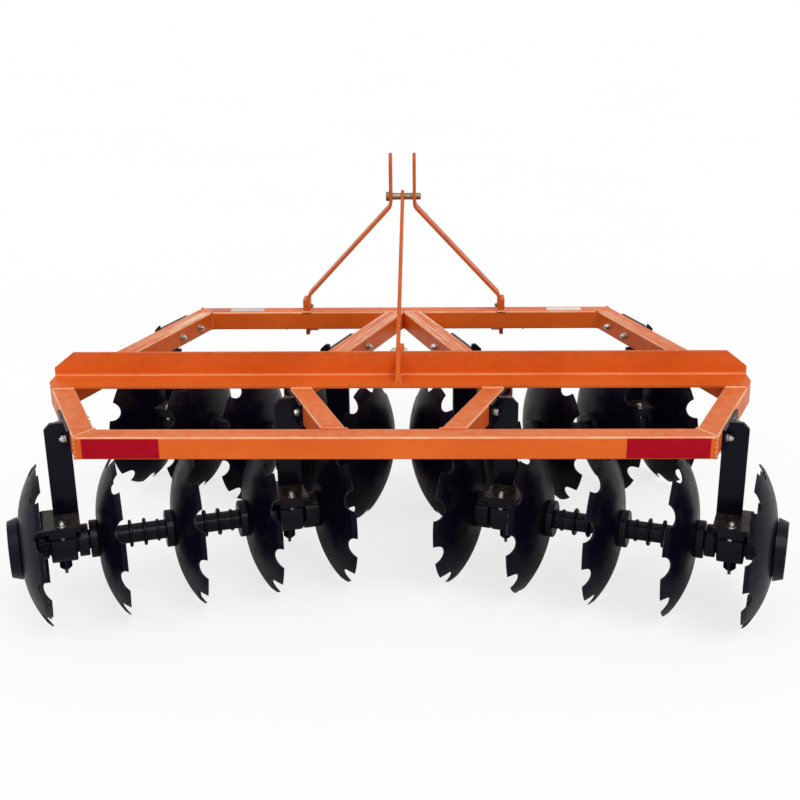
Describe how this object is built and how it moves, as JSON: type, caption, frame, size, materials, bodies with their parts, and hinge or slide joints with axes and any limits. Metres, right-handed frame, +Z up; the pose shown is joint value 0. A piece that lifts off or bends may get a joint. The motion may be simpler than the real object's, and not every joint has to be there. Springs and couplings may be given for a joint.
{
  "type": "tandem disc harrow",
  "caption": "Light tandem disc harrow for a three-point hitch: an orange tube frame and mast over four free-turning gangs of notched dished discs.",
  "frame": {"origin": "on the ground, under the middle of the machine's box", "axes": "+Z up, +Y the way it is pulled, +X to the right of someone who stands behind it"},
  "size_m": [2.0174, 1.4183, 1.037],
  "materials": {
    "orange_paint": "satin",
    "black_paint": "satin",
    "disc_paint": "gloss",
    "cast_black": "satin",
    "axle_steel": "satin",
    "zinc_steel": "satin"
  },
  "bodies": {
    "frame": {"front_bar": "orange_paint", "rear_bar": "orange_paint", "cross_angle": "orange_paint", "angle_gusset": "orange_paint", "brace_pin": "zinc_steel", "centre_brace": "orange_paint", "brace_lug": "orange_paint", "front_rail_left": "orange_paint", "rear_rail_left": "orange_paint", "inner_front_rail_left": "orange_paint", "inner_rear_rail_left": "orange_paint", "mast_bar_left": "orange_paint", "hitch_plate_left": "orange_paint", "hitch_pin_left": "zinc_steel", "front_bearings_left": "cast_black", "front_hangers_left": "black_paint", "rear_bearings_left": "cast_black", "rear_hangers_left": "black_paint", "front_rail_right": "orange_paint", "rear_rail_right": "orange_paint", "inner_front_rail_right": "orange_paint", "inner_rear_rail_right": "orange_paint", "mast_bar_right": "orange_paint", "hitch_plate_right": "orange_paint", "hitch_pin_right": "zinc_steel", "front_bearings_right": "cast_black", "front_hangers_right": "black_paint", "rear_bearings_right": "cast_black", "rear_hangers_right": "black_paint"},
    "rear_left_gang": {"rear_discs_left": "disc_paint", "rear_spools_left": "cast_black", "rear_end_washers_left": "cast_black", "rear_axle_left": "axle_steel"},
    "rear_right_gang": {"rear_discs_right": "disc_paint", "rear_spools_right": "cast_black", "rear_end_washers_right": "cast_black", "rear_axle_right": "axle_steel"},
    "front_left_gang": {"front_discs_left": "disc_paint", "front_spools_left": "cast_black", "front_end_washers_left": "cast_black", "front_axle_left": "axle_steel"},
    "front_right_gang": {"front_discs_right": "disc_paint", "front_spools_right": "cast_black", "front_end_washers_right": "cast_black", "front_axle_right": "axle_steel"}
  },
  "joints": [
    {"name": "rear_left_gang_turn", "type": "hinge", "parent": "frame", "child": "rear_left_gang", "pos_m": [-0.2166, -0.28364, 0.21], "axis": [-0.95, -0.3123, 0], "continuous": true},
    {"name": "rear_right_gang_turn", "type": "hinge", "parent": "frame", "child": "rear_right_gang", "pos_m": [0.2166, -0.28364, 0.21], "axis": [0.95, -0.3123, 0], "continuous": true},
    {"name": "front_left_gang_turn", "type": "hinge", "parent": "frame", "child": "front_left_gang", "pos_m": [-0.0584, 0.11746, 0.21], "axis": [-0.9361, 0.3518, 0], "continuous": true},
    {"name": "front_right_gang_turn", "type": "hinge", "parent": "frame", "child": "front_right_gang", "pos_m": [0.0584, 0.11746, 0.21], "axis": [0.9361, 0.3518, 0], "continuous": true}
  ]
}
